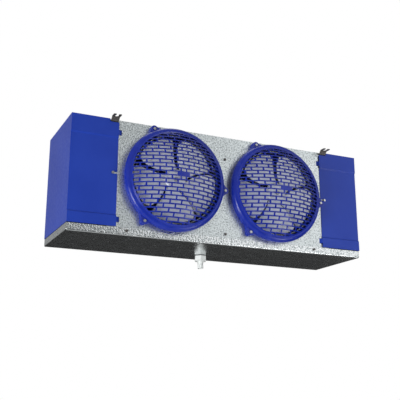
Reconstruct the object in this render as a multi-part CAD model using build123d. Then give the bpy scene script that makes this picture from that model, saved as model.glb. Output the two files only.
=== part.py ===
from build123d import *
import math
import os

os.makedirs("parts", exist_ok=True)

# Overall sizes, mm. +X runs along the cooler, the fans face -Y, +Z is up.
# y = 0 is the front of the fan panel and z = 0 the bottom of the drain pan;
# export() moves all pieces so that the middle of the four hanger slots is the origin.
LENGTH = 1156.0
HEIGHT = 406.0
DEPTH = 301.0            # fan panel front to the rear of the top panel
SHEET = 1.2              # aluminium and steel sheet
GAP = 0.4                # between pieces that move past each other

FAN_X = 203.2            # half of the 16 in fan pitch
FAN_Z = 212.0
ORIFICE_R = 160.0        # throat of the rolled fan opening
ORIFICE_REACH = 23.0     # how far the opening is drawn forward
ORIFICE_FILLET = 16.0

END_X = 410.0            # inner edges of the end covers, outer faces of the tube sheets
PANEL_X = 440.0          # the fan panel runs on under the covers to here
PANEL_BOTTOM = 6.0

PAN_WALL = 26.0
PAN_REAR_WALL = 17.0
COVER_BOTTOM = 28.0


def box(x0, x1, y0, y1, z0, z1):
    """A block between two corners."""
    return Pos((x0 + x1) / 2, (y0 + y1) / 2, (z0 + z1) / 2) * Box(abs(x1 - x0), abs(y1 - y0), abs(z1 - z0))


def rod_x(radius, x0, x1, y, z):
    return Pos((x0 + x1) / 2, y, z) * (Rot(0, 90, 0) * Cylinder(radius, abs(x1 - x0)))


def rod_y(radius, y0, y1, x, z):
    return Pos(x, (y0 + y1) / 2, z) * (Rot(90, 0, 0) * Cylinder(radius, abs(y1 - y0)))


def rod_z(radius, z0, z1, x, y):
    return Pos(x, y, (z0 + z1) / 2) * Cylinder(radius, abs(z1 - z0))


def prism_z(points, z0, z1):
    """A plan outline (x, y) raised from z0 to z1."""
    face = make_face(Polyline(*[(x, y, z0) for x, y in points], close=True))
    return extrude(face, amount=z1 - z0, dir=(0, 0, 1))


def prism_x(points, x0, x1):
    """A side outline (y, z) run along the cooler from x0 to x1."""
    face = make_face(Polyline(*[(x0, y, z) for y, z in points], close=True))
    return extrude(face, amount=x1 - x0, dir=(1, 0, 0))


def prism_y(points, y0, y1):
    """A front outline (x, z) run back from y0 to y1."""
    face = make_face(Polyline(*[(x, y0, z) for x, z in points], close=True))
    return extrude(face, amount=y1 - y0, dir=(0, 1, 0))


def hex_y(across_flats, y0, y1, x, z):
    r = across_flats / 2 / math.cos(math.radians(30))
    pts = [(x + r * math.cos(math.radians(60 * k)), z + r * math.sin(math.radians(60 * k))) for k in range(6)]
    return prism_y(pts, y0, y1)


def mirror_x(shape):
    return mirror(shape, Plane.YZ)


# Hanger slots, and from them the origin.
HANGER_X = 426.0
HANGER_WIDE = 28.0
HANGER_THICK = 3.0
HANGER_REACH = 38.0      # beyond the front and rear faces
HANGER_ROD = 22.0        # rod centre in front of the panel
HANGER_SEAT_R = 7.3      # round seat of each slot, for the rod and its washer's collar
HANGER_NECK = 10.0       # the slot's open neck, for a 3/8 in rod
HANGER_LOW = 399.0       # underside of the strap inside the cabinet
HANGER_TOP = HEIGHT + 8.0
MID_Y = DEPTH / 2
HANGER_BOLT_Y = (45.0, DEPTH - 45.0)


def export(name, shape):
    shape = Pos(0, -MID_Y, -HANGER_TOP) * shape
    export_step(shape, f"parts/{name}.step")


# ---------------------------------------------------------------- fan panel
# One embossed aluminium sheet. The two openings are drawn forward into short
# throats, so the blades turn in a rounded inlet.
PANEL_TOP_NOTCH = HANGER_LOW - 2.0
COVER_SCREW_Z = 214.0
COVER_SCREW_X = 426.5
TONGUE_Z = (52.5, 361.0)
TONGUE_HIGH = 18.0
TONGUE_TIP = 388.0
NOTCH_X = 398.0
PAN_SCREW_X = 371.0
PAN_SCREW_Z = 16.5
BAFFLE_SCREW_Z = (40.0, 320.0)
GUARD_EAR_R = 194.5
GUARD_EAR_ANGLES = (-5.0, 115.0, 235.0)
GUARD_SCREW_R = 2.4


def ear_centres(fan_x):
    for a in GUARD_EAR_ANGLES:
        yield (fan_x + GUARD_EAR_R * math.cos(math.radians(a)), FAN_Z + GUARD_EAR_R * math.sin(math.radians(a)))


def throat():
    """The drawn collar, revolved: flat root, quarter-round, straight throat."""
    r_out = ORIFICE_R + ORIFICE_FILLET
    f = ORIFICE_FILLET
    root = r_out + 2
    outline = [
        Line((root, 0), (r_out, 0)),
        CenterArc((r_out, -f), f, 90, 90),
        Line((ORIFICE_R, -f), (ORIFICE_R, -ORIFICE_REACH)),
        Line((ORIFICE_R, -ORIFICE_REACH), (ORIFICE_R - SHEET, -ORIFICE_REACH)),
        Line((ORIFICE_R - SHEET, -ORIFICE_REACH), (ORIFICE_R - SHEET, -f)),
        CenterArc((r_out, -f), f + SHEET, 90, 90),
        Line((r_out, SHEET), (root, SHEET)),
        Line((root, SHEET), (root, 0)),
    ]
    return revolve(make_face(outline), Axis.Y)


def make_fan_panel():
    panel = box(-PANEL_X, PANEL_X, 0, SHEET, PANEL_BOTTOM, HEIGHT)
    collar = throat()
    root_r = ORIFICE_R + ORIFICE_FILLET + 2
    for s in (-1, 1):
        panel -= rod_y(root_r, -5, 5, s * FAN_X, FAN_Z)
    for s in (-1, 1):
        panel += Pos(s * FAN_X, 0, FAN_Z) * collar
        for x, z in ear_centres(s * FAN_X):
            panel -= rod_y(GUARD_SCREW_R, -1, 3, x, z)
        # notches for the cover tongues, open to the panel's edge
        for z in TONGUE_Z:
            h = TONGUE_HIGH / 2 + 1.0
            panel -= box(s * NOTCH_X, s * (PANEL_X + 2), -1, 3, z - h, z + h)
        # the hanger straps come out through cut-outs in the top edge
        panel -= box(s * (HANGER_X - 15), s * (PANEL_X + 2), -1, 3, PANEL_TOP_NOTCH, HEIGHT + 1)
        panel -= rod_y(2.5, -1, 3, s * COVER_SCREW_X, COVER_SCREW_Z)
        # pan screw slots, open downwards so that the pan can swing clear
        panel -= rod_y(2.6, -1, 3, s * PAN_SCREW_X, PAN_SCREW_Z)
        panel -= box(s * PAN_SCREW_X - 2.6, s * PAN_SCREW_X + 2.6, -1, 3, PANEL_BOTTOM - 1, PAN_SCREW_Z)
    for z in BAFFLE_SCREW_Z:
        panel -= rod_y(2.0, -1, 3, 0, z)
    return panel


export("fan_panel", make_fan_panel())

# ---------------------------------------------------------------- top panel
# A shallow channel: flat top with a flange turned down at the front and the rear.
TOP_X = LENGTH / 2 - 2.5
TOP_FLANGE = 20.0
GROMMET_X = -500.0
GROMMET_Y = 230.0
GROMMET_R = 11.0


def make_top_panel():
    b = SHEET
    t = SHEET
    z1 = HEIGHT
    outline = [(b, z1), (b, z1 - TOP_FLANGE), (b + t, z1 - TOP_FLANGE), (b + t, z1 - t), (DEPTH - t, z1 - t),
               (DEPTH - t, z1 - TOP_FLANGE), (DEPTH, z1 - TOP_FLANGE), (DEPTH, z1)]
    top = prism_x(outline, -TOP_X, TOP_X)
    for s in (-1, 1):
        for y0, y1 in ((0, 4), (DEPTH - 4, DEPTH + 1)):
            top -= box(s * (HANGER_X - 15), s * (HANGER_X + 15), y0, y1, PANEL_TOP_NOTCH, z1 - t)
    top -= rod_z(GROMMET_R, z1 - 5, z1 + 5, GROMMET_X, GROMMET_Y)
    # the front flange lets the upper guard screws through
    for s in (-1, 1):
        for x, z in ear_centres(s * FAN_X):
            top -= rod_y(GUARD_SCREW_R, 0, 4, x, z)
    return top


export("top_panel", make_top_panel())

# ---------------------------------------------------------------- tube sheets
# The end plates of the coil. They carry the coil tubes, the fan panel, the top
# panel and the hangers, and the pan's hinge pins at their rear lower corners.
COIL_FRONT = 190.0
COIL_REAR = 288.0
COIL_BOTTOM = 34.0
COIL_TOP = 384.0
TUBE_R = 7.9             # 5/8 in tube
TUBE_LEVELS = 6
TUBE_PITCH_Z = 54.0
TUBE_Z0 = COIL_BOTTOM + 40.0
TUBE_Y = (COIL_REAR - 24.0, COIL_REAR - 74.0)   # rear row, front row
HINGE_Y = 297.0
HINGE_Z = 21.0
PIN_R = 3.0


def tube_centres():
    for y in TUBE_Y:
        for k in range(TUBE_LEVELS):
            yield y, TUBE_Z0 + k * TUBE_PITCH_Z


def make_tube_sheet():
    """The right-hand sheet; the left one mirrors it."""
    x0, x1 = END_X - SHEET, END_X
    f = 30.0
    y_front, y_rear = 2 * SHEET, DEPTH - 2 * SHEET
    z_top = HANGER_LOW
    lug_y = HINGE_Y - 9.0
    outline = [(SHEET, PAN_WALL + 4), (lug_y - 8, PAN_WALL + 4), (lug_y, HINGE_Z - 6), (HINGE_Y + 2, HINGE_Z - 6),
               (HINGE_Y + 2, PAN_WALL + 8), (y_rear, PAN_WALL + 8), (y_rear, HEIGHT - TOP_FLANGE - 1),
               (y_rear, z_top), (y_front + SHEET, z_top), (y_front + SHEET, HEIGHT - TOP_FLANGE - 1),
               (SHEET, HEIGHT - TOP_FLANGE - 1)]
    sheet = prism_x(outline, x0, x1)
    # front flange behind the fan panel, top flange under the hanger strap, rear flange
    sheet += box(x0, END_X + f, SHEET, 2 * SHEET, PAN_WALL + 4, HEIGHT - TOP_FLANGE - 1)
    sheet += box(x0, END_X + f, y_front + SHEET, y_rear - 0.5, z_top - SHEET, z_top)
    sheet += box(x0, END_X + 14, y_rear - SHEET, y_rear, PAN_WALL + 8, HEIGHT - TOP_FLANGE - 1)
    for z in TONGUE_Z:
        h = TONGUE_HIGH / 2 + 2.0
        sheet -= box(TONGUE_TIP - 5, END_X + f + 2, 0, 6, z - h, z + h)
    for y, z in tube_centres():
        sheet -= rod_x(TUBE_R, x0 - 1, x1 + 1, y, z)
    sheet -= rod_x(PIN_R, x0 - 1, x1 + 1, HINGE_Y, HINGE_Z)
    sheet -= rod_y(2.5, 0, 6, COVER_SCREW_X, COVER_SCREW_Z)
    for y in HANGER_BOLT_Y:
        sheet -= rod_z(3.0, z_top - 5, z_top + 5, HANGER_X, y)
    return sheet



tube_sheet = make_tube_sheet()
export("tube_sheet_right", tube_sheet)
export("tube_sheet_left", mirror_x(tube_sheet))

# ---------------------------------------------------------------- fan baffle
# A plate between the two fans, so that a stopped fan draws no air backwards.


def make_baffle():
    x = 10.0
    plate = box(x - SHEET, x, SHEET, COIL_FRONT, PAN_WALL + 4, HEIGHT - TOP_FLANGE - 1)
    plate += box(-x, x, SHEET, 2 * SHEET, PAN_WALL + 4, HEIGHT - TOP_FLANGE - 1)
    for z in BAFFLE_SCREW_Z:
        plate -= rod_y(2.0, 0, 6, 0, z)
    for s in (-1, 1):
        for x, z in ear_centres(s * FAN_X):
            plate -= rod_y(GUARD_SCREW_R, 0, 8, x, z)
    return plate


export("fan_baffle", make_baffle())

# ---------------------------------------------------------------- coil
# Finned block in the rear of the cabinet. The fins show as a comb on the open
# rear face; the tubes leave it through the tube sheets.
FIN_PITCH = 9.0
FIN_DEEP = 86.0
FIN_SLOT = 7.4
TUBE_STUB = 6.0


def make_coil():
    half = END_X - SHEET
    count = int(2 * half // FIN_PITCH)
    first = -count * FIN_PITCH / 2
    pts = [(-half, COIL_FRONT), (half, COIL_FRONT), (half, COIL_REAR)]
    for k in reversed(range(count)):
        a = first + k * FIN_PITCH + (FIN_PITCH - FIN_SLOT) / 2
        pts += [(a + FIN_SLOT, COIL_REAR), (a + FIN_SLOT, COIL_REAR - FIN_DEEP), (a, COIL_REAR - FIN_DEEP),
                (a, COIL_REAR)]
    pts += [(-half, COIL_REAR)]
    coil = prism_z(pts, COIL_BOTTOM, COIL_TOP)
    for y, z in tube_centres():
        coil += rod_x(TUBE_R, half - 2, END_X + TUBE_STUB, y, z)
        coil += rod_x(TUBE_R, -(END_X + TUBE_STUB), -(half - 2), y, z)
    return coil


# ---------------------------------------------------------------- return bends
# Copper U-bends brazed on the tube ends: all six pairs at the left, four
# cross-overs at the right, where each half of the coil starts and ends.


def u_bend(y0, z0, y1, z1, x_face, side):
    """A half turn joining the tube ends (y0, z0) and (y1, z1) outside x_face."""
    ry, rz = (y1 - y0) / 2, (z1 - z0) / 2
    r = math.hypot(ry, rz)
    leg = 3.0
    start = Vector(x_face, y0, z0)
    a = Vector(x_face + side * leg, y0, z0)
    m = Vector(x_face + side * (leg + r), y0 + ry, z0 + rz)
    b = Vector(x_face + side * leg, y1, z1)
    end = Vector(x_face, y1, z1)
    path = Wire([Edge.make_line(start, a), Edge.make_three_point_arc(a, m, b), Edge.make_line(b, end)])
    section = Plane(origin=start, z_dir=(side, 0, 0)) * Circle(TUBE_R)
    return sweep(section, path=path)


def tube_z(level):
    return TUBE_Z0 + level * TUBE_PITCH_Z


FACE_X = END_X + TUBE_STUB
export("coil", make_coil())
left_bends = [u_bend(TUBE_Y[0], tube_z(k), TUBE_Y[1], tube_z(k), -FACE_X, -1) for k in range(TUBE_LEVELS)]
export("return_bends_left", Compound(children=[b.solid() for b in left_bends]))
right_bends = []
for base in (0, 3):
    right_bends.append(u_bend(TUBE_Y[1], tube_z(base), TUBE_Y[1], tube_z(base + 1), FACE_X, 1))
    right_bends.append(u_bend(TUBE_Y[0], tube_z(base + 1), TUBE_Y[0], tube_z(base + 2), FACE_X, 1))
export("return_bends_right", Compound(children=[b.solid() for b in right_bends]))

# ---------------------------------------------------------------- liquid side
# Distributor with its two feeder tubes into the rear tubes of levels 1 and 4,
# and the stub that the liquid line is brazed to.
LIQUID_STUB_R = 6.35
DIST_X = 505.0
DIST_Y = TUBE_Y[0] + 8.0
DIST_Z = tube_z(0) + 55.0
STUB_END_X = 560.0
FEEDER_X = FACE_X + 43.0    # outside the return bends


def pipe(points, radius):
    """A tube bent along points, each inner corner rounded."""
    wire = FilletPolyline(*points, radius=9)
    start = Vector(*points[0])
    d = (Vector(*points[1]) - start).normalized()
    return sweep(Plane(origin=start, z_dir=d) * Circle(radius), path=wire)


def make_distributor():
    body = Pos(DIST_X, DIST_Y, DIST_Z) * (Rot(0, 90, 0) * Cylinder(13, 34))
    body += Pos(DIST_X - 27, DIST_Y, DIST_Z) * (Rot(0, -90, 0) * Cone(13, 9, 20))
    body += rod_x(LIQUID_STUB_R, DIST_X + 16, STUB_END_X, DIST_Y, DIST_Z)
    # feeders: straight out of each tube end cap, then back to the distributor
    for level, dz in ((0, -4.5), (3, 4.5)):
        z = tube_z(level)
        body += rod_x(TUBE_R, FACE_X, FACE_X + 6, TUBE_Y[0], z)
        body += pipe([(FACE_X + 3, TUBE_Y[0], z), (FEEDER_X, TUBE_Y[0], z), (FEEDER_X, TUBE_Y[0] + 4, DIST_Z + dz),
                      (DIST_X - 34, DIST_Y, DIST_Z + dz)], 3.2)
    return body


# ---------------------------------------------------------------- suction side
# Header joining the outlets of levels 3 and 6 in the front row, its stub and the
# access valve for a gauge.
HEADER_R = 11.1
HEADER_X = FACE_X + 52.0
SUCTION_STUB_Z = tube_z(1) + 6
SUCTION_COLLAR_X = 492.0    # the stub's swaged collar ends here


def make_suction_header():
    z0, z1 = SUCTION_STUB_Z - 24, tube_z(5) + 14
    header = rod_z(HEADER_R, z0, z1, HEADER_X, TUBE_Y[1])
    for level in (2, 5):
        header += rod_x(TUBE_R, FACE_X, HEADER_X, TUBE_Y[1], tube_z(level))
    header += rod_x(HEADER_R + 2.0, HEADER_X, SUCTION_COLLAR_X, TUBE_Y[1], SUCTION_STUB_Z - 6)
    header += rod_x(HEADER_R, HEADER_X, STUB_END_X, TUBE_Y[1], SUCTION_STUB_Z - 6)
    return header


def make_access_valve():
    x0 = HEADER_X
    y0 = TUBE_Y[1] - HEADER_R
    z = tube_z(4)
    valve = rod_y(3.5, y0 - 16, y0 + 1.5, x0, z)
    valve += rod_y(6.0, y0 - 26, y0 - 16, x0, z)
    return valve - rod_z(HEADER_R, z - 10, z + 10, x0, TUBE_Y[1])


export("liquid_distributor", make_distributor())
export("suction_header", make_suction_header())
export("access_valve", make_access_valve())

# ---------------------------------------------------------------- fan motors
# Closed motor cans behind the openings, each in a ring bracket with four arms
# whose feet are clinched to the back of the fan panel.
MOTOR_R = 44.0
MOTOR_FRONT = 28.0
MOTOR_BACK = 118.0
SHAFT_R = 4.0
ARM_R = 190.0
ARM_ANGLES = (45, 135, 225, 315)
ARM_WIDE = 24.0
ARM_THICK = 2.0


def make_motor():
    outline = Polyline((0, MOTOR_FRONT), (14, MOTOR_FRONT), (16, MOTOR_FRONT + 6), (MOTOR_R - 6, MOTOR_FRONT + 8),
                       (MOTOR_R, MOTOR_FRONT + 14), (MOTOR_R, MOTOR_BACK - 14), (MOTOR_R - 8, MOTOR_BACK - 4),
                       (16, MOTOR_BACK - 2), (14, MOTOR_BACK), (0, MOTOR_BACK), close=True)
    motor = revolve(make_face(outline), Axis.Y)
    motor -= rod_y(SHAFT_R + 0.05, MOTOR_FRONT - 1, MOTOR_FRONT + 40, 0, 0)
    return motor


def make_motor_bracket():
    ring = Rot(90, 0, 0) * (Cylinder(MOTOR_R + ARM_THICK, ARM_WIDE) - Cylinder(MOTOR_R, ARM_WIDE + 2))
    y_mid = 62.0
    bracket = Pos(0, y_mid, 0) * ring
    # side view of one arm: out from the ring, bent forward to a foot on the panel
    r0, r1 = MOTOR_R + ARM_THICK / 2, ARM_R
    t = ARM_THICK
    y = y_mid
    side = [(r0, y - t / 2), (r1 - 30, y - t / 2), (r1 - 12, SHEET + t), (r1 - 12, SHEET), (r1 + 10, SHEET),
            (r1 + 10, SHEET + t), (r1 - 10.6, SHEET + t), (r1 - 28.8, y + t / 2), (r0, y + t / 2)]
    face = make_face(Polyline(*[(a, b, -ARM_WIDE / 2) for a, b in side], close=True))
    arm = extrude(face, amount=ARM_WIDE, dir=(0, 0, 1))
    for a in ARM_ANGLES:
        bracket += Rot(0, a, 0) * arm
    return bracket


motor = make_motor()
bracket = make_motor_bracket()
for side, s in (("left", -1), ("right", 1)):
    export(f"fan_motor_{side}", Pos(s * FAN_X, 0, FAN_Z) * motor)
    export(f"motor_bracket_{side}", Pos(s * FAN_X, 0, FAN_Z) * bracket)

# ---------------------------------------------------------------- fans
# Five wide blades of sheet aluminium on a round hub cup. A blade is a curved,
# pitched plate cut to the outline between two curving gaps.
BLADES = 5
TIP_R = 152.4            # 12 in fan
HUB_R = 40.0
HUB_FRONT = -24.0
HUB_REAR = -2.0
BLADE_THICK = 1.6
FIRST_GAP = -1.0         # angle at which one gap leaves the hub
# radius, bend of the gap's middle line in degrees, half width of the gap in mm
GAP_LINE = ((38.0, -3.0, 3.6), (48.0, 8.5, 4.0), (60.0, 15.5, 4.3), (80.0, 18.5, 4.5), (105.0, 19.0, 4.8),
            (122.0, 18.5, 5.6), (135.0, 17.5, 8.2), (145.0, 16.5, 12.5))


def polar(r, deg):
    return r * math.cos(math.radians(deg)), r * math.sin(math.radians(deg))


def blade_outline():
    """Front view of one blade, between the gap at 0 and the gap at 72 degrees."""
    step = 360.0 / BLADES
    low = [polar(r, bend + math.degrees(w / r)) for r, bend, w in GAP_LINE]
    high = [polar(r, step + bend - math.degrees(w / r)) for r, bend, w in GAP_LINE]
    r, bend, w = GAP_LINE[-1]
    tip_a, tip_b = 16.0 + 8.5, step + 16.0 - 9.5
    a, b = polar(TIP_R, tip_a), polar(TIP_R, tip_b)
    mid = polar(TIP_R, (tip_a + tip_b) / 2)
    edges = [Spline(*low), Line(low[-1], a), ThreePointArc(a, mid, b), Line(b, high[-1]), Spline(*reversed(high)),
             Line(high[0], low[0])]
    return make_face(edges)


def make_fan():
    step = 360.0 / BLADES
    face = blade_outline()
    outline = extrude(Plane.XZ * face, amount=60, both=True)
    # the pitched plate: an arc in the tangent-axial plane, run out along the radius
    mid = 14.0 + step / 2
    half, rise, camber = 92.0, 11.0, 6.0
    yc = -11.0
    lo, hi = (-half, yc + rise), (half, yc - rise)
    bow = (0.0, yc - camber)
    t = BLADE_THICK
    arc = [ThreePointArc(lo, bow, hi), Line(hi, (hi[0], hi[1] + t)),
           ThreePointArc((hi[0], hi[1] + t), (bow[0], bow[1] + t), (lo[0], lo[1] + t)), Line((lo[0], lo[1] + t), lo)]
    # plane with x = tangent, y = cooler's y, normal = radius
    rx, rz = polar(1, mid)
    radial, tangent = Vector(rx, 0, rz), Vector(-rz, 0, rx)
    plane = Plane(origin=radial * (HUB_R - 6), x_dir=tangent, z_dir=tangent.cross(Vector(0, 1, 0)))
    sheet = extrude(plane * make_face(arc), amount=TIP_R, dir=radial)
    blade = sheet & outline
    blade = blade.solid() if len(blade.solids()) == 1 else max(blade.solids(), key=lambda q: q.volume)
    cup = Polyline((SHAFT_R, HUB_FRONT), (HUB_R - 6, HUB_FRONT), (HUB_R, HUB_FRONT + 6), (HUB_R, HUB_REAR),
                   (HUB_R - 2, HUB_REAR), (HUB_R - 2, HUB_FRONT + 6), (HUB_R - 7, HUB_FRONT + 2),
                   (11, HUB_FRONT + 2), (11, HUB_REAR + 6), (SHAFT_R, HUB_REAR + 6), close=True)
    fan = revolve(make_face(cup), Axis.Y)
    keep = Rot(90, 0, 0) * Cylinder(TIP_R + 5, 200) - Rot(90, 0, 0) * Cylinder(HUB_R - 1.2, 220)
    blade = (blade & keep).solid()
    for k in range(BLADES):
        # a positive turn about -Y carries +X towards +Z
        fan += Rot(0, -(k * step + FIRST_GAP), 0) * blade
    return fan


def make_shaft():
    return rod_y(SHAFT_R, -37, MOTOR_FRONT + 38, 0, 0)


fan = make_fan()
for side, s in (("left", -1), ("right", 1)):
    at = Pos(s * FAN_X, 0, FAN_Z)
    export(f"fan_blades_{side}", at * fan)
    export(f"motor_shaft_{side}", at * make_shaft())
    export(f"fan_nut_{side}", at * (hex_y(14, HUB_FRONT - 7, HUB_FRONT, 0, 0) - rod_y(SHAFT_R, -60, 0, 0, 0)))

# ---------------------------------------------------------------- fan guards
# One blue moulding each: a deep rounded ring standing on the panel, three
# screw lugs, and a domed lattice of flat bars laid like bricks.
RING_R = 184.0
RING_BULGE = 187.5        # widest, part way up
RING_TOP_R = 171.0
RING_HIGH = 36.0
RING_WALL = 3.0
DOME_HIGH = 96.0
DOME_THICK = 4.5
ROW_PITCH = 13.7
ROW_BAR = 3.6
BRICK_PITCH = 41.0
BRICK_BAR = 3.8
EAR_R = 12.5
EAR_FOOT = 34.0          # half the width of a lug where it runs into the ring
EAR_HIGH = 21.0


def brick_holes():
    """The lattice openings seen from the front, as one flat sketch."""
    rows = int(2 * RING_TOP_R / ROW_PITCH) // 2
    high = ROW_PITCH - ROW_BAR
    cells = []
    for row in range(-rows, rows + 1):
        z = row * ROW_PITCH
        shift = 0.0 if row % 2 == 0 else BRICK_PITCH / 2
        for k in range(-5, 6):
            x = k * BRICK_PITCH + shift
            if row == 0 and k == 0:
                continue                      # the solid block in the middle
            if abs(row) == 1 and k in (-1, 0):
                continue                      # replaced by three short openings below
            cells.append((x, z, BRICK_PITCH - BRICK_BAR))
        if abs(row) == 1:
            cells.append((0.0, z, 16.0))
            for s in (-1, 1):
                inner, outer = 8.0 + BRICK_BAR, BRICK_PITCH - BRICK_BAR / 2
                cells.append((s * (inner + outer) / 2, z, outer - inner))
    limit = RING_TOP_R - 5.0
    sketch = Sketch()
    for x, z, wide in cells:
        near = math.hypot(max(abs(x) - wide / 2, 0), max(abs(z) - high / 2, 0))
        if near > limit - 4:
            continue
        cell = Pos(x, z) * Rectangle(wide, high)
        far = math.hypot(abs(x) + wide / 2, abs(z) + high / 2)
        if far > limit:
            cell = cell & Circle(limit)
        sketch += cell
    return sketch


def make_guard():
    # ring wall: upright foot, then a full curve in to the dome
    w = RING_WALL
    rim = math.sqrt(DOME_RADIUS ** 2 - RING_TOP_R ** 2)
    profile = [
        Line((RING_R - w, 0), (RING_R, 0)),
        Line((RING_R, 0), (RING_BULGE, -18)),
        ThreePointArc((RING_BULGE, -18), (RING_BULGE - 4, -30.5), (RING_TOP_R, -RING_HIGH)),
        Line((RING_TOP_R, -RING_HIGH), (RING_TOP_R - 2.0, -RING_HIGH + 4.0)),
        ThreePointArc((RING_TOP_R - 2.0, -RING_HIGH + 4.0), (RING_BULGE - w - 3.5, -27.5), (RING_BULGE - w, -18)),
        Line((RING_BULGE - w, -18), (RING_R - w, 0)),
    ]
    guard = revolve(make_face(profile), Axis.Y)
    # dome: spherical cap between two radii, inside the ring's upper edge
    y_c = -DOME_HIGH + DOME_RADIUS
    cap = Pos(0, y_c, 0) * (Sphere(DOME_RADIUS) - Sphere(DOME_RADIUS - DOME_THICK))
    cap = cap & rod_y(RING_TOP_R + 1.0, -DOME_HIGH - 5, -RING_HIGH + DOME_THICK + 1, 0, 0)
    holes = extrude(Plane.XZ * brick_holes(), amount=DOME_HIGH + 20, dir=(0, -1, 0))
    cap -= holes
    guard += cap
    for a in GUARD_EAR_ANGLES:
        x, z = polar(GUARD_EAR_R, a)
        ear = rod_y(EAR_R, -EAR_HIGH, 0, x, z)
        plan = [(RING_R - 7, -EAR_FOOT), (GUARD_EAR_R + 3, 0.4 - EAR_R), (GUARD_EAR_R + 3, EAR_R - 0.4), (RING_R - 7, EAR_FOOT)]
        web = Rot(0, -a, 0) * prism_y(plan, -EAR_HIGH, 0)
        lug = (ear + web) - rod_y(RING_R - w + 0.5, -60, 10, 0, 0)
        guard += lug
    for a in GUARD_EAR_ANGLES:
        x, z = polar(GUARD_EAR_R, a)
        guard -= rod_y(GUARD_SCREW_R, -60, 10, x, z)
    return guard


DOME_RISE = DOME_HIGH - RING_HIGH
DOME_RADIUS = (RING_TOP_R ** 2 + DOME_RISE ** 2) / (2 * DOME_RISE)
guard = make_guard()
for side, s in (("left", -1), ("right", 1)):
    export(f"fan_guard_{side}", Pos(s * FAN_X, 0, FAN_Z) * guard)

# ---------------------------------------------------------------- screws
# Hexagon-head sheet-metal screws; each group is one row of like screws.


def screw(x, z, y_seat, shank_r, length, head=8.0, head_high=4.0):
    """Head in front of y_seat, shank running back from it."""
    return hex_y(head, y_seat - head_high, y_seat, x, z) + rod_y(shank_r, y_seat, y_seat + length, x, z)


def group(name, solids):
    export(name, Compound(children=[q.solid() for q in solids]))


group("guard_screws", [screw(x, z, -EAR_HIGH, GUARD_SCREW_R, EAR_HIGH + 6, 9.0)
                       for s in (-1, 1) for x, z in ear_centres(s * FAN_X)])
group("baffle_screws", [screw(0, z, 0.0, 2.0, 8.0) for z in BAFFLE_SCREW_Z])

# ---------------------------------------------------------------- end covers
# Painted steel caps, U-shaped in plan, with a shallow sunk field across the
# front. Two joggled tongues hook behind the fan panel; the screw stands in a
# slot that is open to the cover's edge, so the cover slides off sideways.
BAND_Y = -5.0            # outer face of the upper and lower bands
FIELD_Y = -GAP - SHEET   # outer face of the sunk field
FIELD_Z = (67.0, 341.0)
REAR_Y = DEPTH + GAP + SHEET
COVER_TOP = HEIGHT + 0.6
COVER_SLOT_R = 3.0


def make_cover():
    """The right-hand cover; the left one mirrors it."""
    x0, x1 = END_X, LENGTH / 2
    t = SHEET
    z0, z1 = COVER_BOTTOM, COVER_TOP
    za, zb = FIELD_Z
    # front wall in side view: band, step, sunk field, step, band
    outer = [(BAND_Y, z0), (BAND_Y, za - 3), (FIELD_Y, za + 2), (FIELD_Y, zb - 2), (BAND_Y, zb + 3), (BAND_Y, z1)]
    inner = [(y + t, z) for y, z in reversed(outer)]
    front = prism_x(outer + inner, x0, x1 - t)
    end_front = [(BAND_Y, z0), (BAND_Y, za - 3), (FIELD_Y, za + 2), (FIELD_Y, zb - 2), (BAND_Y, zb + 3), (BAND_Y, z1),
                 (REAR_Y, z1), (REAR_Y, z0)]
    end = prism_x(end_front, x1 - t, x1)
    rear = box(x0, x1 - t, REAR_Y - t, REAR_Y, z0, z1)
    cover = front + end + rear
    # screw slot, open to the edge
    cover -= rod_y(COVER_SLOT_R, -8, 2, COVER_SCREW_X, COVER_SCREW_Z)
    cover -= box(x0 - 1, COVER_SCREW_X, -8, 2, COVER_SCREW_Z - COVER_SLOT_R, COVER_SCREW_Z + COVER_SLOT_R)
    # corner cut-outs round the hanger strap, open to the edge
    for y0, y1 in ((-10, 2), (DEPTH - 2, DEPTH + 10)):
        cover -= box(x0 - 1, HANGER_X + 16.5, y0, y1, PANEL_TOP_NOTCH - 1, z1 + 1)
    # tongues, stepping from the band down through the panel's notch
    back = SHEET + GAP
    plan = [(x0 + 4, BAND_Y), (x0 + 4, BAND_Y + t), (x0 - 0.5, BAND_Y + t), (x0 - 9.6, back + t),
            (TONGUE_TIP, back + t), (TONGUE_TIP, back), (x0 - 8.6, back), (x0 - 0.5, BAND_Y)]
    for z in TONGUE_Z:
        cover += prism_z(plan, z - TONGUE_HIGH / 2, z + TONGUE_HIGH / 2)
    return cover


cover = make_cover()
export("end_cover_right", cover)
export("end_cover_left", mirror_x(cover))
group("cover_screws", [screw(s * COVER_SCREW_X, COVER_SCREW_Z, FIELD_Y - GAP, 2.5, 14.0, 9.0) for s in (-1, 1)])

# ---------------------------------------------------------------- drain pan
# Shallow embossed tray under the whole cabinet: bent floor and walls, open at
# the top, with two ears at the rear that hang on pins in the tube sheets.
PAN_X = LENGTH / 2 - 0.4
PAN_FRONT = -GAP - SHEET
PAN_REAR = DEPTH + 0.2
DRAIN_Y = 214.0
DRAIN_R = 11.1           # 3/4 in copper stub, 22.2 mm outside


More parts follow.
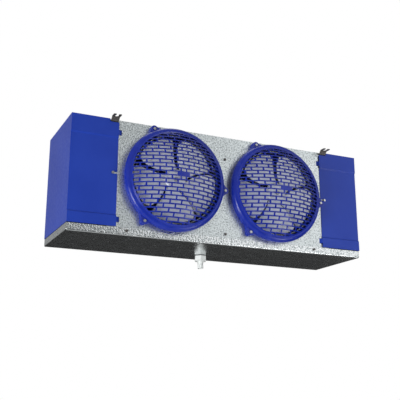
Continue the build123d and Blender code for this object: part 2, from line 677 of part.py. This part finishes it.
def make_pan():
    t = SHEET
    r = 3.0
    tray = box(-PAN_X, PAN_X, PAN_FRONT, PAN_REAR, 0, PAN_WALL)
    tray = fillet(tray.edges().filter_by(Axis.X).group_by(Axis.Z)[0], 5.0)
    tray = fillet(tray.edges().filter_by(Axis.Z), r)
    inside = box(-PAN_X + t, PAN_X - t, PAN_FRONT + t, PAN_REAR - t, t, PAN_WALL + 5)
    inside = fillet(inside.edges().filter_by(Axis.X).group_by(Axis.Z)[0], 5.0 - t)
    inside = fillet(inside.edges().filter_by(Axis.Z), r - t)
    tray -= inside
    tray -= box(-PAN_X + 8, PAN_X - 8, PAN_REAR - 3, PAN_REAR + 1, PAN_REAR_WALL, PAN_WALL + 1)
    # hinge ears, welded to floor and rear wall outside each tube sheet
    for s in (-1, 1):
        x0 = s * (END_X + 1.0)
        x1 = s * (END_X + 3.0)
        ear = prism_x([(HINGE_Y - 18, t), (PAN_REAR - t, t), (PAN_REAR - t, PAN_REAR_WALL), (HINGE_Y + 3, HINGE_Z + 4),
                       (HINGE_Y - 5, HINGE_Z + 4)], min(x0, x1), max(x0, x1))
        tray += ear
        tray -= rod_x(PIN_R + 0.06, x0 - 3, x0 + 6, HINGE_Y, HINGE_Z) if s > 0 else rod_x(
            PIN_R + 0.06, x0 - 6, x0 + 3, HINGE_Y, HINGE_Z)
        tray -= rod_y(2.0, -5, 2, s * PAN_SCREW_X, PAN_SCREW_Z)
    tray -= rod_z(DRAIN_R, -5, 5, 0, DRAIN_Y)
    return tray


export("drain_pan", make_pan())
group("pan_screws", [screw(s * PAN_SCREW_X, PAN_SCREW_Z, PAN_FRONT, 2.0, 11.0) for s in (-1, 1)])
group("hinge_pins", [rod_x(PIN_R, s * (END_X - 4), s * (END_X + 4), HINGE_Y, HINGE_Z)
                     + rod_x(PIN_R + 1.6, s * (END_X + 3.5), s * (END_X + 6), HINGE_Y, HINGE_Z) for s in (-1, 1)])

# ---------------------------------------------------------------- drain fitting
# Hexagon body with a straight stub below, gasket under the pan's floor and a
# locknut inside the pan.
HEX_AF = 40.0
HEX_HIGH = 20.0
STUB_END = -49.0
BORE_R = 9.5
GASKET = 2.0


def hex_z(across_flats, z0, z1, x, y, turn=0.0):
    r = across_flats / 2 / math.cos(math.radians(30))
    pts = [(x + r * math.cos(math.radians(60 * k + turn)), y + r * math.sin(math.radians(60 * k + turn)))
           for k in range(6)]
    return prism_z(pts, z0, z1)


fitting = hex_z(HEX_AF, -GASKET - HEX_HIGH, -GASKET, 0, DRAIN_Y, 10.0)
fitting += rod_z(DRAIN_R, STUB_END, 9.0, 0, DRAIN_Y)
fitting -= rod_z(BORE_R, STUB_END - 1, 10.0, 0, DRAIN_Y)
export("drain_fitting", fitting)
export("drain_gasket", rod_z(18.0, -GASKET, 0, 0, DRAIN_Y) - rod_z(DRAIN_R, -5, 5, 0, DRAIN_Y))
export("drain_locknut", hex_z(32.0, SHEET, SHEET + 5, 0, DRAIN_Y) - rod_z(DRAIN_R, -5, 15, 0, DRAIN_Y))

# ---------------------------------------------------------------- hangers
# Steel straps bolted on the tube sheets' top flanges. They step up outside the
# front and rear faces into forks with open slots for the hanging rods.


def make_hanger():
    t = HANGER_THICK
    lo, hi = HANGER_LOW, HANGER_TOP - t
    yf, yr = -HANGER_REACH, DEPTH + HANGER_REACH
    under = [(yf, hi), (-16, hi), (-5, lo), (DEPTH + 5, lo), (DEPTH + 16, hi), (yr, hi)]
    over = [(yr, hi + t), (DEPTH + 15, hi + t), (DEPTH + 4, lo + t), (-4, lo + t), (-15, hi + t), (yf, hi + t)]
    strap = prism_x(under + over, HANGER_X - HANGER_WIDE / 2, HANGER_X + HANGER_WIDE / 2)
    for y, y_open in ((-HANGER_ROD, yf - 1), (DEPTH + HANGER_ROD, yr + 1)):
        strap -= rod_z(HANGER_SEAT_R, hi - 1, hi + t + 1, HANGER_X, y)
        strap -= box(HANGER_X - HANGER_NECK / 2, HANGER_X + HANGER_NECK / 2, min(y, y_open), max(y, y_open), hi - 1,
                     hi + t + 1)
    for y in HANGER_BOLT_Y:
        strap -= rod_z(3.0, lo - 1, lo + t + 1, HANGER_X, y)
    return strap


hanger = make_hanger()
export("hanger_right", hanger)
export("hanger_left", mirror_x(hanger))
hanger_bolts = []
for s in (-1, 1):
    for y in HANGER_BOLT_Y:
        bolt = rod_z(3.0, HANGER_LOW - 8, HANGER_LOW + HANGER_THICK, s * HANGER_X, y)
        bolt += hex_z(10.0, HANGER_LOW - 8, HANGER_LOW - SHEET, s * HANGER_X, y)
        hanger_bolts.append(bolt)
group("hanger_bolts", hanger_bolts)

# ---------------------------------------------------------------- wiring end
# Left compartment: terminal block on a bracket on the tube sheet, and the
# grommet where the supply cable comes in from the room.
TB_Y = 110.0
TB_Z = 220.0


def make_terminal_bracket():
    x = -END_X
    plate = box(x - 1.5, x, TB_Y - 35, TB_Y + 35, TB_Z - 45, TB_Z + 45)
    plate += box(x - 22, x, TB_Y - 35, TB_Y + 35, TB_Z - 46.5, TB_Z - 45)
    return plate


def make_terminal_block():
    x = -END_X - 1.5
    block = box(x - 12, x, TB_Y - 14, TB_Y + 14, TB_Z - 36, TB_Z + 36)
    block += box(x - 22, x - 12, TB_Y - 4, TB_Y + 4, TB_Z - 36, TB_Z + 36)
    for k in range(5):
        z = TB_Z - 36 + 14.4 * k
        block += box(x - 19, x - 12, TB_Y - 14, TB_Y + 14, z, z + 2)
    return block


export("terminal_bracket", make_terminal_bracket())
export("terminal_block", make_terminal_block())
lip = rod_z(GROMMET_R + 3, HEIGHT, HEIGHT + 2.5, GROMMET_X, GROMMET_Y)
lip += rod_z(GROMMET_R, HEIGHT - SHEET, HEIGHT, GROMMET_X, GROMMET_Y)
lip += rod_z(GROMMET_R + 2, HEIGHT - SHEET - 2.5, HEIGHT - SHEET, GROMMET_X, GROMMET_Y)
lip -= rod_z(GROMMET_R - 3, HEIGHT - 10, HEIGHT + 10, GROMMET_X, GROMMET_Y)
export("cable_grommet", lip)
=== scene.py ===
import math

import bpy
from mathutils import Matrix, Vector


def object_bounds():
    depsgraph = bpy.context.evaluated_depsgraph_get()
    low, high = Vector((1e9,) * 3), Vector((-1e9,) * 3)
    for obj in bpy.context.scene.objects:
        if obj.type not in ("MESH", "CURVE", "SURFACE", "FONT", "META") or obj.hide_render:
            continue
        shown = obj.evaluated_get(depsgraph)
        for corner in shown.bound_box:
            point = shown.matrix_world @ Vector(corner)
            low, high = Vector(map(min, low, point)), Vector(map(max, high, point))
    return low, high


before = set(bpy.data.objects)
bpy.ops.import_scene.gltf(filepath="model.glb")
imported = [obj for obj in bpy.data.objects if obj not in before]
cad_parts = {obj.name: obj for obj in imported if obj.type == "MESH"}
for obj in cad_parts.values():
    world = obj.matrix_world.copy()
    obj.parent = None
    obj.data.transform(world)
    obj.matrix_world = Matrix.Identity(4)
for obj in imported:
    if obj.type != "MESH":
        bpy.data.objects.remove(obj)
cad_low, cad_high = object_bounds()

# ---------------------------------------------------------------- fan panel
# Mill aluminium sheet with a stucco embossing, which hides dents and keeps the light
# sheet stiff. It is punched and its two fan openings are rolled forward.
STUCCO_GREY = (0.66, 0.71, 0.72, 1.0)
# the colour of the painted shade in the embossing's hollows
STUCCO_HOLLOW_SHADE = (0.36, 0.40, 0.41, 1.0)
STUCCO_PITCH = 0.0052
STUCCO_DEPTH = 0.00055
STUCCO_GLOSS_PATCH = 0.02
STUCCO_ROUGHNESS = (0.28, 0.38)
PEBBLE_DETAIL = 1.0
PEBBLE_SPAN = (0.32, 0.68)
HOLLOW_SPAN = (0.15, 0.5)

# nearly all of a noise lies in the middle span
MIDDLE_SPAN = (0.3, 0.7)
WHOLE_SPAN = (0.0, 1.0)
REVERSED = (1.0, 0.0)


def new_finish(name, colour, metallic, roughness):
    """A fresh material with one principled shader, and its node tree for the details."""
    material = bpy.data.materials.new(name)
    material.use_nodes = True
    tree = material.node_tree
    shader = tree.nodes["Principled BSDF"]
    shader.inputs["Base Color"].default_value = colour
    shader.inputs["Metallic"].default_value = metallic
    shader.inputs["Roughness"].default_value = roughness
    return material, tree, shader


def object_place(tree):
    """The point on the piece in metres."""
    return tree.nodes.new("ShaderNodeTexCoord").outputs["Object"]


def noise(tree, place, size, detail=3.0):
    """Soft spots about size metres across, as a value from 0 to 1."""
    spots = tree.nodes.new("ShaderNodeTexNoise")
    spots.inputs["Scale"].default_value = 1.0 / size
    spots.inputs["Detail"].default_value = detail
    tree.links.new(place, spots.inputs["Vector"])
    return spots.outputs["Fac"]


def spread(tree, value, taken, given):
    """The value, with the ends of the span taken laid on the ends of the span given."""
    ramp = tree.nodes.new("ShaderNodeMapRange")
    ramp.inputs["From Min"].default_value = taken[0]
    ramp.inputs["From Max"].default_value = taken[1]
    ramp.inputs["To Min"].default_value = given[0]
    ramp.inputs["To Max"].default_value = given[1]
    tree.links.new(value, ramp.inputs["Value"])
    return ramp.outputs["Result"]


def tint(tree, shader, amount, first, second):
    """The base colour is first where the amount is 0 and second where it is 1."""
    mixer = tree.nodes.new("ShaderNodeMix")
    mixer.data_type = "RGBA"
    mixer.inputs["A"].default_value = first
    mixer.inputs["B"].default_value = second
    tree.links.new(amount, mixer.inputs["Factor"])
    tree.links.new(mixer.outputs["Result"], shader.inputs["Base Color"])


def roughen(tree, shader, value, taken, roughness):
    """The roughness follows the value over the span taken."""
    tree.links.new(spread(tree, value, taken, roughness), shader.inputs["Roughness"])


def raise_surface(tree, shader, height, depth):
    """Fine relief of the given depth in metres."""
    bump = tree.nodes.new("ShaderNodeBump")
    bump.inputs["Strength"].default_value = 1.0
    bump.inputs["Distance"].default_value = depth
    tree.links.new(height, bump.inputs["Height"])
    tree.links.new(bump.outputs["Normal"], shader.inputs["Normal"])


def stucco_pebbles(tree, place):
    """The rounded pebbles of the embossing, as a height from 0 to 1."""
    return spread(tree, noise(tree, place, STUCCO_PITCH, PEBBLE_DETAIL), PEBBLE_SPAN, WHOLE_SPAN)


def put_on(material, *names):
    """The finish goes on each of these pieces of the frame."""
    for name in names:
        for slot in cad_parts[name].material_slots:
            slot.material = material


def embossed_sheet():
    material, tree, shader = new_finish("embossed_aluminium", STUCCO_GREY, metallic=0.88, roughness=0.30)
    place = object_place(tree)
    pebbles = stucco_pebbles(tree, place)
    raise_surface(tree, shader, pebbles, STUCCO_DEPTH)
    # The pebbles' hollows are painted darker, as painted shade in the embossing.
    tint(tree, shader, spread(tree, pebbles, HOLLOW_SPAN, REVERSED), STUCCO_GREY, STUCCO_HOLLOW_SHADE)
    roughen(tree, shader, noise(tree, place, STUCCO_GLOSS_PATCH), MIDDLE_SPAN, STUCCO_ROUGHNESS)
    return material


put_on(embossed_sheet(), "fan_panel")

# ---------------------------------------------------------------- drain pan
# Mill aluminium, folded up on four sides and hung on two hinge pins at the rear. Its
# walls are embossed like the fan panel and its underside is smooth.
PAN_GREY = (0.66, 0.69, 0.70, 1.0)
PAN_GLOSS_PATCH = 0.03
PAN_ROUGHNESS = (0.22, 0.28)
# how far a face may look down before its embossing fades out
PAN_FADE_SPAN = (-0.8, -0.3)


def facing(tree, axis):
    """How far the surface faces along one axis, from -1 to 1."""
    split = tree.nodes.new("ShaderNodeSeparateXYZ")
    normal = tree.nodes.new("ShaderNodeNewGeometry").outputs["Normal"]
    tree.links.new(normal, split.inputs["Vector"])
    return split.outputs[axis]


def times(tree, first, second):
    """The product of two values."""
    product = tree.nodes.new("ShaderNodeMath")
    product.operation = "MULTIPLY"
    tree.links.new(first, product.inputs[0])
    tree.links.new(second, product.inputs[1])
    return product.outputs["Value"]


def pan_sheet():
    material, tree, shader = new_finish("pan_aluminium", PAN_GREY, metallic=1.0, roughness=0.24)
    place = object_place(tree)
    upright = spread(tree, facing(tree, "Z"), PAN_FADE_SPAN, WHOLE_SPAN)
    pebbles = stucco_pebbles(tree, place)
    raise_surface(tree, shader, times(tree, pebbles, upright), STUCCO_DEPTH)
    # The same painted shade in the hollows of the walls' embossing, faded out on the underside.
    hollows = times(tree, spread(tree, pebbles, HOLLOW_SPAN, REVERSED), upright)
    tint(tree, shader, hollows, PAN_GREY, STUCCO_HOLLOW_SHADE)
    roughen(tree, shader, noise(tree, place, PAN_GLOSS_PATCH), MIDDLE_SPAN, PAN_ROUGHNESS)
    return material


put_on(pan_sheet(), "drain_pan")

# ---------------------------------------------------------------- top, end plates and baffle
# The rest of the cabinet is plain mill sheet with flanges folded at its edges. It keeps
# the faint lines of the rolling mill and is a little clouded.
SHEET_GREY = (0.62, 0.64, 0.65, 1.0)
SHEET_DULL = (0.53, 0.55, 0.56, 1.0)
SHEET_ROUGHNESS = (0.27, 0.42)
MILL_LINE_WIDTH = 0.002
MILL_LINE_DEPTH = 0.00005
MILL_LINE_STRETCH = (0.02, 1.0, 1.0)
CLOUD_SIZE = 0.12
CLOUD_SPAN = (0.35, 0.65)


def plain_sheet():
    material, tree, shader = new_finish("plain_aluminium", SHEET_GREY, metallic=0.85, roughness=0.33)
    place = object_place(tree)
    stretched = tree.nodes.new("ShaderNodeMapping")
    stretched.inputs["Scale"].default_value = MILL_LINE_STRETCH
    tree.links.new(place, stretched.inputs["Vector"])
    lines = noise(tree, stretched.outputs["Vector"], MILL_LINE_WIDTH)
    raise_surface(tree, shader, lines, MILL_LINE_DEPTH)
    roughen(tree, shader, lines, MIDDLE_SPAN, SHEET_ROUGHNESS)
    clouds = spread(tree, noise(tree, place, CLOUD_SIZE), CLOUD_SPAN, WHOLE_SPAN)
    tint(tree, shader, clouds, SHEET_GREY, SHEET_DULL)
    return material


put_on(plain_sheet(), "top_panel", "tube_sheet_left", "tube_sheet_right", "fan_baffle")

# ---------------------------------------------------------------- coil
# Thin aluminium fins with a rippled surface, pressed on copper tubes between the end
# plates. Its front face shows the fins' edges, with painted shade in the gaps between them.
FIN_GREY = (0.60, 0.62, 0.63, 1.0)
FIN_GAP_SHADE = (0.03, 0.032, 0.035, 1.0)
FIN_GLOSS_PATCH = 0.03
FIN_ROUGHNESS = (0.32, 0.5)
RIPPLE_PITCH = 0.0125
RIPPLE_DEPTH = 0.0006
EDGE_PITCH = 0.0042
EDGE_SPAN = (0.70, 0.90)
FRONT_SPAN = (-0.9, -0.5)
# a wave texture of scale 1 repeats every 2 pi / 20
WAVE_PITCH = 2 * math.pi / 20


def bands(tree, place, axis, pitch):
    """Even waves along one axis, as a value from 0 to 1."""
    wave = tree.nodes.new("ShaderNodeTexWave")
    wave.wave_type = "BANDS"
    wave.bands_direction = axis
    wave.inputs["Scale"].default_value = WAVE_PITCH / pitch
    tree.links.new(place, wave.inputs["Vector"])
    return wave.outputs["Fac"]


def rippled_fins():
    material, tree, shader = new_finish("fin_aluminium", FIN_GREY, metallic=0.8, roughness=0.38)
    place = object_place(tree)
    raise_surface(tree, shader, bands(tree, place, "Y", RIPPLE_PITCH), RIPPLE_DEPTH)
    roughen(tree, shader, noise(tree, place, FIN_GLOSS_PATCH), MIDDLE_SPAN, FIN_ROUGHNESS)
    # Painted shade in the gaps between the fins' edges, on the front face only.
    gap_shade = spread(tree, bands(tree, place, "X", EDGE_PITCH), EDGE_SPAN, REVERSED)
    front = spread(tree, facing(tree, "Y"), FRONT_SPAN, REVERSED)
    tint(tree, shader, times(tree, gap_shade, front), FIN_GREY, FIN_GAP_SHADE)
    return material


put_on(rippled_fins(), "coil")

# ---------------------------------------------------------------- copper tubes
# The return bends, the distributor with its feeders and the suction header are bare
# copper, brazed to the coil and darkened a little where the torch has been.
COPPER_CLEAN = (0.62, 0.27, 0.15, 1.0)
COPPER_DARK = (0.26, 0.12, 0.08, 1.0)
COPPER_ROUGHNESS = (0.24, 0.5)
STAIN_SIZE = 0.035
STAIN_DETAIL = 5.0
STAIN_SPAN = (0.42, 0.7)
COPPER_GRAIN = 0.004
COPPER_GRAIN_DEPTH = 0.0001


def bare_copper():
    material, tree, shader = new_finish("copper", COPPER_CLEAN, metallic=0.9, roughness=0.3)
    place = object_place(tree)
    stain = spread(tree, noise(tree, place, STAIN_SIZE, STAIN_DETAIL), STAIN_SPAN, WHOLE_SPAN)
    tint(tree, shader, stain, COPPER_CLEAN, COPPER_DARK)
    roughen(tree, shader, stain, WHOLE_SPAN, COPPER_ROUGHNESS)
    raise_surface(tree, shader, noise(tree, place, COPPER_GRAIN), COPPER_GRAIN_DEPTH)
    return material


put_on(bare_copper(), "return_bends_left", "return_bends_right", "liquid_distributor", "suction_header")

# ---------------------------------------------------------------- access valve
# Turned brass with a hexagon cap, brazed into the suction header. A gauge screws on in
# place of the cap.
BRASS = (0.60, 0.42, 0.16, 1.0)


def even_finish(name, colour, metallic, roughness, patch, wander, grain, depth):
    """One colour all over, with a fine grain and a roughness that wanders in patches."""
    material, tree, shader = new_finish(name, colour, metallic, roughness)
    place = object_place(tree)
    raise_surface(tree, shader, noise(tree, place, grain), depth)
    roughen(tree, shader, noise(tree, place, patch), MIDDLE_SPAN, wander)
    return material


turned_brass = even_finish(
    "brass_fitting", BRASS, metallic=0.95, roughness=0.28,
    patch=0.01, wander=(0.22, 0.4), grain=0.0015, depth=0.00006,
)
put_on(turned_brass, "access_valve")

# ---------------------------------------------------------------- fan motors
# Closed cans in black enamel with a slight orange peel, each carried by its bracket
# behind the fan. Dust has settled on them.
ENAMEL_BLACK = (0.018, 0.019, 0.022, 1.0)
ENAMEL_DUSTY = (0.05, 0.05, 0.052, 1.0)
DUST_SIZE = 0.05
DUST_SPAN = (0.45, 0.7)
PEEL_SIZE = 0.003
PEEL_DEPTH = 0.00012


def black_enamel():
    material, tree, shader = new_finish("motor_black", ENAMEL_BLACK, metallic=0.0, roughness=0.36)
    place = object_place(tree)
    raise_surface(tree, shader, noise(tree, place, PEEL_SIZE), PEEL_DEPTH)
    dust = spread(tree, noise(tree, place, DUST_SIZE), DUST_SPAN, WHOLE_SPAN)
    tint(tree, shader, dust, ENAMEL_BLACK, ENAMEL_DUSTY)
    return material


put_on(black_enamel(), "fan_motor_left", "fan_motor_right")

# ---------------------------------------------------------------- brackets, shafts and fasteners
# Zinc-plated steel: the motor brackets, shafts and nuts, the hinge pins, the hanger bolts,
# the terminal block's bracket, and the screws of the guards and covers.
ZINC_BRIGHT = (0.50, 0.51, 0.52, 1.0)
ZINC_DULL = (0.26, 0.27, 0.28, 1.0)
ZINC_ROUGHNESS = (0.25, 0.45)
SPANGLE_SIZE = 0.008
SPANGLE_DETAIL = 4.0
SPANGLE_SPAN = (0.35, 0.7)
ZINC_GRAIN = 0.0012
ZINC_GRAIN_DEPTH = 0.00004


def zinc_plate():
    material, tree, shader = new_finish("zinc_steel", ZINC_BRIGHT, metallic=0.9, roughness=0.3)
    place = object_place(tree)
    spangle = spread(tree, noise(tree, place, SPANGLE_SIZE, SPANGLE_DETAIL), SPANGLE_SPAN, WHOLE_SPAN)
    tint(tree, shader, spangle, ZINC_BRIGHT, ZINC_DULL)
    roughen(tree, shader, spangle, WHOLE_SPAN, ZINC_ROUGHNESS)
    raise_surface(tree, shader, noise(tree, place, ZINC_GRAIN), ZINC_GRAIN_DEPTH)
    return material


put_on(
    zinc_plate(),
    "motor_bracket_left", "motor_bracket_right", "motor_shaft_left", "motor_shaft_right",
    "fan_nut_left", "fan_nut_right", "guard_screws", "cover_screws", "hanger_bolts", "hinge_pins",
    "terminal_bracket",
)

# ---------------------------------------------------------------- fan blades
# Five blades pressed from smooth sheet aluminium and fixed to a hub cup, which the nut
# holds on the motor's shaft.
BLADE_GREY = (0.86, 0.90, 0.95, 1.0)

pressed_blades = even_finish(
    "blade_aluminium", BLADE_GREY, metallic=0.15, roughness=0.40,
    patch=0.04, wander=(0.28, 0.42), grain=0.002, depth=0.00004,
)
put_on(pressed_blades, "fan_blades_left", "fan_blades_right")

# ---------------------------------------------------------------- fan guards
# Each guard is one blue moulding: ring, three lugs and a domed lattice of staggered
# bricks. Three screws hold it to the fan panel.
GUARD_BLUE = (0.012, 0.030, 0.36, 1.0)
GUARD_PALE = (0.018, 0.042, 0.40, 1.0)
GUARD_ROUGHNESS = (0.24, 0.34)
SCUFF_SIZE = 0.03
SCUFF_SPAN = (0.45, 0.75)
GUARD_GRAIN = 0.0015
GUARD_GRAIN_DEPTH = 0.00005
BLUE_SPECULAR = 0.3


def moulded_blue():
    material, tree, shader = new_finish("blue_moulding", GUARD_BLUE, metallic=0.0, roughness=0.28)
    shader.inputs["Specular IOR Level"].default_value = BLUE_SPECULAR
    place = object_place(tree)
    scuffs = spread(tree, noise(tree, place, SCUFF_SIZE), SCUFF_SPAN, WHOLE_SPAN)
    tint(tree, shader, scuffs, GUARD_BLUE, GUARD_PALE)
    roughen(tree, shader, scuffs, WHOLE_SPAN, GUARD_ROUGHNESS)
    raise_surface(tree, shader, noise(tree, place, GUARD_GRAIN), GUARD_GRAIN_DEPTH)
    return material


put_on(moulded_blue(), "fan_guard_left", "fan_guard_right")

# ---------------------------------------------------------------- end covers
# Folded steel with a smooth blue powder coat, in nearly the same blue as the guards.
# Each has two tongues hooked behind the fan panel, and one screw.
COVER_BLUE = (0.010, 0.047, 0.42, 1.0)
COVER_FADED = (0.014, 0.056, 0.46, 1.0)
COVER_ROUGHNESS = (0.34, 0.44)
COVER_GLOSS_PATCH = 0.01
FADING_SIZE = 0.15
FADING_SPAN = (0.4, 0.7)
POWDER_GRAIN = 0.0022
POWDER_DEPTH = 0.00006


def blue_powder():
    material, tree, shader = new_finish("blue_paint", COVER_BLUE, metallic=0.0, roughness=0.38)
    shader.inputs["Specular IOR Level"].default_value = BLUE_SPECULAR
    place = object_place(tree)
    fading = spread(tree, noise(tree, place, FADING_SIZE), FADING_SPAN, WHOLE_SPAN)
    tint(tree, shader, fading, COVER_BLUE, COVER_FADED)
    roughen(tree, shader, noise(tree, place, COVER_GLOSS_PATCH), MIDDLE_SPAN, COVER_ROUGHNESS)
    raise_surface(tree, shader, noise(tree, place, POWDER_GRAIN), POWDER_DEPTH)
    return material


put_on(blue_powder(), "end_cover_left", "end_cover_right")

# ---------------------------------------------------------------- drain fitting
# A white moulded fitting through the pan's floor, with a rubber gasket and a locknut
# inside. The cable's grommet is of the same rubber.
FITTING_WHITE = (0.90, 0.93, 0.92, 1.0)
RUBBER_BLACK = (0.02, 0.02, 0.02, 1.0)

white_moulding = even_finish(
    "white_fitting", FITTING_WHITE, metallic=0.0, roughness=0.35,
    patch=0.01, wander=(0.3, 0.45), grain=0.002, depth=0.00005,
)
black_rubber = even_finish(
    "black_rubber", RUBBER_BLACK, metallic=0.0, roughness=0.7,
    patch=0.008, wander=(0.6, 0.8), grain=0.001, depth=0.00008,
)
put_on(white_moulding, "drain_fitting", "drain_locknut")
put_on(black_rubber, "drain_gasket", "cable_grommet")

# ---------------------------------------------------------------- hangers and dark screws
# Steel straps, bolted under the top at the inner edge of each cover, in a dark colour that
# is painted shade. Their open slots take the hanging rods. The screws of the pan and of
# the baffle are as dark.
PAINTED_SHADE_DARK = (0.10, 0.092, 0.088, 1.0)

dark_painted_shade = even_finish(
    "dark_steel", PAINTED_SHADE_DARK, metallic=0.5, roughness=0.38,
    patch=0.012, wander=(0.34, 0.55), grain=0.002, depth=0.0001,
)
# The hangers' dark colour is painted shade.
put_on(dark_painted_shade, "hanger_left", "hanger_right", "baffle_screws", "pan_screws")

# ---------------------------------------------------------------- terminal block
# Black moulded block for the supply wiring, on its own bracket behind the left end
# cover.
BLOCK_BLACK = (0.02, 0.02, 0.021, 1.0)

black_moulding = even_finish(
    "black_plastic", BLOCK_BLACK, metallic=0.0, roughness=0.5,
    patch=0.01, wander=(0.42, 0.6), grain=0.0012, depth=0.00006,
)
put_on(black_moulding, "terminal_block")

# ---------------------------------------------------------------- floor
# A plain pale floor, well below the hanging cooler. It is part of the stage and not of
# the object.
FLOOR_GREY = (0.72, 0.72, 0.72, 1.0)
FLOOR_DROP = 1.6
FLOOR_HALF = 1.7

floor_z = cad_low.z - FLOOR_DROP
corners = [(x * FLOOR_HALF, y * FLOOR_HALF, floor_z) for x, y in ((-1, -1), (1, -1), (1, 1), (-1, 1))]
floor_mesh = bpy.data.meshes.new("floor")
floor_mesh.from_pydata(corners, [], [(0, 1, 2, 3)])
floor = bpy.data.objects.new("floor", floor_mesh)
bpy.context.scene.collection.objects.link(floor)
floor_finish, _, _ = new_finish("floor", FLOOR_GREY, metallic=0.0, roughness=0.8)
floor_mesh.materials.append(floor_finish)

# ---------------------------------------------------------------- light
# The key light stands low on the left, two weaker ones on the right in front, one above
# and one behind. The surround is dim, darker below than above, and white to the camera.
SURROUND_ABOVE = 0.42
SURROUND_BELOW = 0.03
HORIZON_SPAN = (-0.06, 0.22)
WHITE = (1.0, 1.0, 1.0, 1.0)

middle = (cad_low + cad_high) / 2


def soft_light(name, place, size, watts):
    """A square area light of the given size that faces the middle of the cooler."""
    data = bpy.data.lights.new(name, "AREA")
    data.shape = "SQUARE"
    data.size = size
    data.energy = watts
    lamp = bpy.data.objects.new(name, data)
    lamp.location = place
    lamp.rotation_mode = "QUATERNION"
    lamp.rotation_quaternion = (middle - Vector(place)).to_track_quat("-Z", "Y")
    bpy.context.scene.collection.objects.link(lamp)


soft_light("key", (-2.9, -1.4, -1.4), size=1.1, watts=72.0)
soft_light("fill", (2.3, -2.9, 0.6), size=2.8, watts=25.0)
soft_light("low", (1.6, -1.9, -1.7), size=0.9, watts=17.0)
soft_light("top", (0.0, 0.6, 2.2), size=1.6, watts=16.0)
soft_light("rear", (3.5, 2.65, -0.6), size=1.2, watts=9.0)


def surround():
    """A world that lights the cooler dimly, by height, behind a plain white backdrop."""
    world = bpy.data.worlds.new("surround")
    world.use_nodes = True
    tree = world.node_tree
    height = tree.nodes.new("ShaderNodeSeparateXYZ")
    direction = tree.nodes.new("ShaderNodeTexCoord").outputs["Generated"]
    tree.links.new(direction, height.inputs["Vector"])
    level = spread(tree, height.outputs["Z"], HORIZON_SPAN, (SURROUND_BELOW, SURROUND_ABOVE))
    dome = tree.nodes["Background"]
    dome.inputs["Color"].default_value = WHITE
    tree.links.new(level, dome.inputs["Strength"])
    backdrop = tree.nodes.new("ShaderNodeBackground")
    backdrop.inputs["Color"].default_value = WHITE
    chooser = tree.nodes.new("ShaderNodeMixShader")
    to_camera = tree.nodes.new("ShaderNodeLightPath").outputs["Is Camera Ray"]
    tree.links.new(to_camera, chooser.inputs["Fac"])
    tree.links.new(dome.outputs["Background"], chooser.inputs[1])
    tree.links.new(backdrop.outputs["Background"], chooser.inputs[2])
    tree.links.new(chooser.outputs["Shader"], tree.nodes["World Output"].inputs["Surface"])
    return world


bpy.context.scene.world = surround()

# ---------------------------------------------------------------- camera
# Below and to the left of the cooler, looking up at it. A small shift frames the object
# without turning the view.
CAMERA_PLACE = (-1.152, -2.4435, -0.950)
CAMERA_YAW = math.radians(24.97)
CAMERA_PITCH = math.radians(16.02)
CAMERA_SENSOR = 36.0
CAMERA_LENS = 66.24
CAMERA_SHIFT = (-0.010, -0.0225)

camera_data = bpy.data.cameras.new("camera")
camera_data.sensor_width = CAMERA_SENSOR
camera_data.lens = CAMERA_LENS
camera_data.shift_x, camera_data.shift_y = CAMERA_SHIFT
camera = bpy.data.objects.new("camera", camera_data)
camera.location = CAMERA_PLACE
forward = Vector((
    math.sin(CAMERA_YAW) * math.cos(CAMERA_PITCH),
    math.cos(CAMERA_YAW) * math.cos(CAMERA_PITCH),
    math.sin(CAMERA_PITCH),
))
camera.rotation_mode = "QUATERNION"
camera.rotation_quaternion = forward.to_track_quat("-Z", "Y")
bpy.context.scene.collection.objects.link(camera)
bpy.context.scene.camera = camera
bpy.context.scene.view_settings.view_transform = "Standard"
